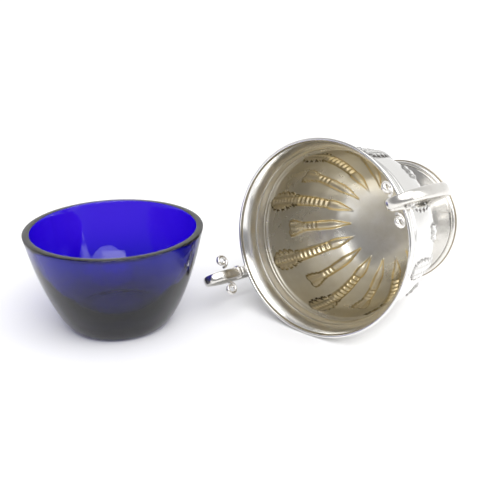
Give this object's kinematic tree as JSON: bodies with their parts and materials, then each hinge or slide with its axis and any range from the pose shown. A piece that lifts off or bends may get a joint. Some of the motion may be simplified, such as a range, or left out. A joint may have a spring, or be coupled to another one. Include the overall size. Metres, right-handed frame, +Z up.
{
  "type": "silver sugar bowl with glass liner",
  "caption": "Footed embossed silver sugar bowl with two high scroll handles, lying beside its loose deep blue glass liner.",
  "frame": {"origin": "on the supporting surface, under the middle of the whole group's bounding box", "axes": "+Z up from the surface; -X along the lying bowl's axis towards its mouth; +Y from the bowl towards the standing liner"},
  "size_m": [0.1758, 0.17, 0.0888],
  "materials": {
    "silver_polished": "bright polished silver, gilt tone and dark tarnish in the embossing inside",
    "silver_worn": "cast silver, polished on high spots and dark in the hollows",
    "cobalt_glass": "deep cobalt blue blown glass with a ground flat rim"
  },
  "bodies": {
    "liner": {"glass_liner": "cobalt_glass"},
    "bowl": {"bowl_body": "silver_polished", "foot_pedestal": "silver_polished", "foot_ring": "silver_polished", "handle_a_block": "silver_worn", "handle_a_strap": "silver_polished", "handle_a_scroll_left": "silver_worn", "handle_a_scroll_right": "silver_worn", "handle_b_block": "silver_worn", "handle_b_strap": "silver_polished", "handle_b_scroll_left": "silver_worn", "handle_b_scroll_right": "silver_worn"}
  },
  "joints": [
    {"name": "bowl_tip", "type": "hinge", "parent": "liner", "child": "bowl", "pos_m": [0.07761, -0.03281, 0], "axis": [0, 1, 0], "range_deg": [0, 80.77]}
  ]
}
